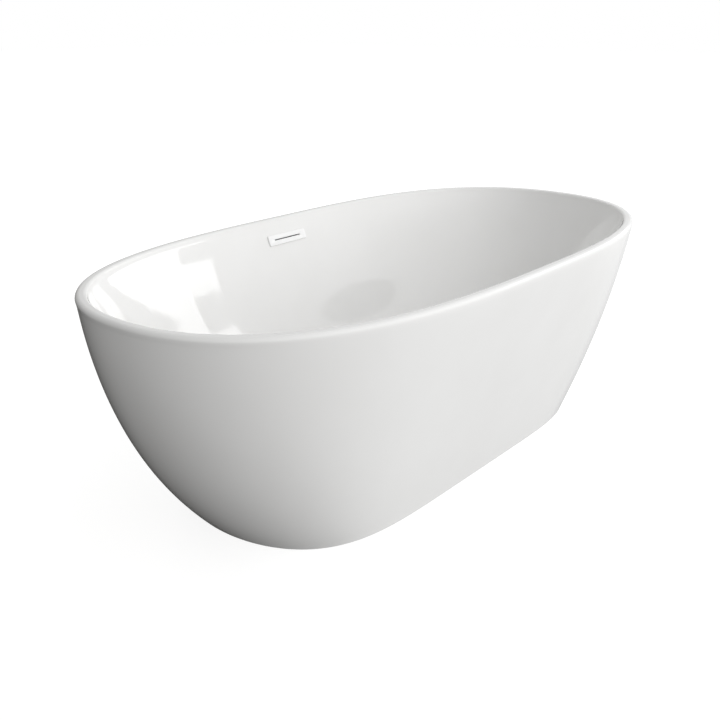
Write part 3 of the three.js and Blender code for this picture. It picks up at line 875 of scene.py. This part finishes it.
def directionAt(azimuth, elevation):
    across, up = math.radians(azimuth), math.radians(elevation)
    return Vector((math.sin(across) * math.cos(up), -math.cos(across) * math.cos(up), math.sin(up)))


# The floor takes the tub's shadow but neither lights the tub nor shows in it
def makeFloor():
    half = studio["floorSize"] / 2
    corners = [(-half, -half, 0), (half, -half, 0), (half, half, 0), (-half, half, 0)]
    floor = meshObject("studioFloor", corners, [(0, 1, 2, 3)])
    material, tree, shader = newMaterial("paleFloor")
    tone = tuple(channel * studio["floorShare"] for channel in studio["floorTone"])
    lighter = tuple(channel * 1.02 for channel in tone)
    tree.links.new(rampColours(tree, addNoise(tree, 0.8), tone, lighter), shader.inputs["Base Color"])
    shader.inputs["Roughness"].default_value = 0.9
    shader.inputs["Specular IOR Level"].default_value = 0.0
    shader.inputs["Emission Color"].default_value = (1, 1, 1, 1)
    shader.inputs["Emission Strength"].default_value = studio["floorGlow"]
    floor.data.materials.append(material)
    floor.visible_diffuse = False
    floor.visible_glossy = False
    floor.visible_shadow = False


# Surroundings, bright towards the front right, dim behind and to the left, dimmer overhead and below
def makeSurroundings():
    world = bpy.data.worlds.new("studioWorld")
    bpy.context.scene.world = world
    world.use_nodes = True
    tree = world.node_tree
    backdrop = tree.nodes["Background"]
    direction = tree.nodes.new("ShaderNodeTexCoord")
    towards = tree.nodes.new("ShaderNodeVectorMath")
    towards.operation = "DOT_PRODUCT"
    towards.inputs[1].default_value = Vector(studio["brightSide"]).normalized()
    tree.links.new(direction.outputs["Generated"], towards.inputs[0])
    spread = tree.nodes.new("ShaderNodeMapRange")
    spread.inputs["From Min"].default_value = -1.0
    spread.inputs["From Max"].default_value = 1.0
    spread.inputs["To Min"].default_value = studio["lightBase"] - studio["lightSwing"]
    spread.inputs["To Max"].default_value = studio["lightBase"] + studio["lightSwing"]
    tree.links.new(towards.outputs["Value"], spread.inputs["Value"])
    parts = tree.nodes.new("ShaderNodeSeparateXYZ")
    tree.links.new(direction.outputs["Generated"], parts.inputs["Vector"])
    steepness = tree.nodes.new("ShaderNodeMath")
    steepness.operation = "ABSOLUTE"
    tree.links.new(parts.outputs["Z"], steepness.inputs[0])
    dip = tree.nodes.new("ShaderNodeMapRange")
    dip.inputs["From Min"].default_value = 0.25
    dip.inputs["From Max"].default_value = 1.0
    dip.inputs["To Max"].default_value = studio["overheadDip"]
    tree.links.new(steepness.outputs["Value"], dip.inputs["Value"])
    dimmed = tree.nodes.new("ShaderNodeMath")
    dimmed.operation = "SUBTRACT"
    tree.links.new(spread.outputs["Result"], dimmed.inputs[0])
    tree.links.new(dip.outputs["Result"], dimmed.inputs[1])
    least = tree.nodes.new("ShaderNodeMath")
    least.operation = "MAXIMUM"
    least.inputs[1].default_value = studio["lightLeast"]
    tree.links.new(dimmed.outputs["Value"], least.inputs[0])
    tint = rampColours(tree, spread.outputs["Result"], studio["lightWarmth"], (1, 1, 1), 0.0, 0.6)
    tree.links.new(tint, backdrop.inputs["Color"])
    tree.links.new(least.outputs["Value"], backdrop.inputs["Strength"])
    seen = tree.nodes.new("ShaderNodeBackground")
    seen.inputs["Color"].default_value = (1, 1, 1, 1)
    seen.inputs["Strength"].default_value = 1.0
    path = tree.nodes.new("ShaderNodeLightPath")
    blend = tree.nodes.new("ShaderNodeMixShader")
    tree.links.new(path.outputs["Is Camera Ray"], blend.inputs["Fac"])
    tree.links.new(backdrop.outputs["Background"], blend.inputs[1])
    tree.links.new(seen.outputs["Background"], blend.inputs[2])
    tree.links.new(blend.outputs["Shader"], tree.nodes["World Output"].inputs["Surface"])


# Each lamp by where it stands and how many degrees wide and high it looks from the tub
def makeLights():
    middle = Vector((-0.35, 0.2, 0.4))
    for name, light in softLights.items():
        data = bpy.data.lights.new(name, "AREA")
        data.shape = "RECTANGLE"
        data.size = 2 * lightDistance * math.tan(math.radians(light["wide"] / 2))
        data.size_y = 2 * lightDistance * math.tan(math.radians(light["high"] / 2))
        data.energy = light["radiance"] * math.pi * data.size * data.size_y
        lamp = bpy.data.objects.new(name, data)
        direction = directionAt(light["azimuth"], light["elevation"])
        roll = Matrix.Rotation(math.radians(light["roll"]), 3, "Z")
        turn = direction.to_track_quat("Z", "Y").to_matrix() @ roll
        lamp.matrix_world = Matrix.Translation(middle + direction * lightDistance) @ turn.to_4x4()
        lamp.visible_camera = False
        lamp.visible_glossy = light["seen"]
        bpy.context.scene.collection.objects.link(lamp)


bpy.context.scene.view_settings.view_transform = "Standard"
makeFloor()
makeSurroundings()
makeLights()
print("studio made")
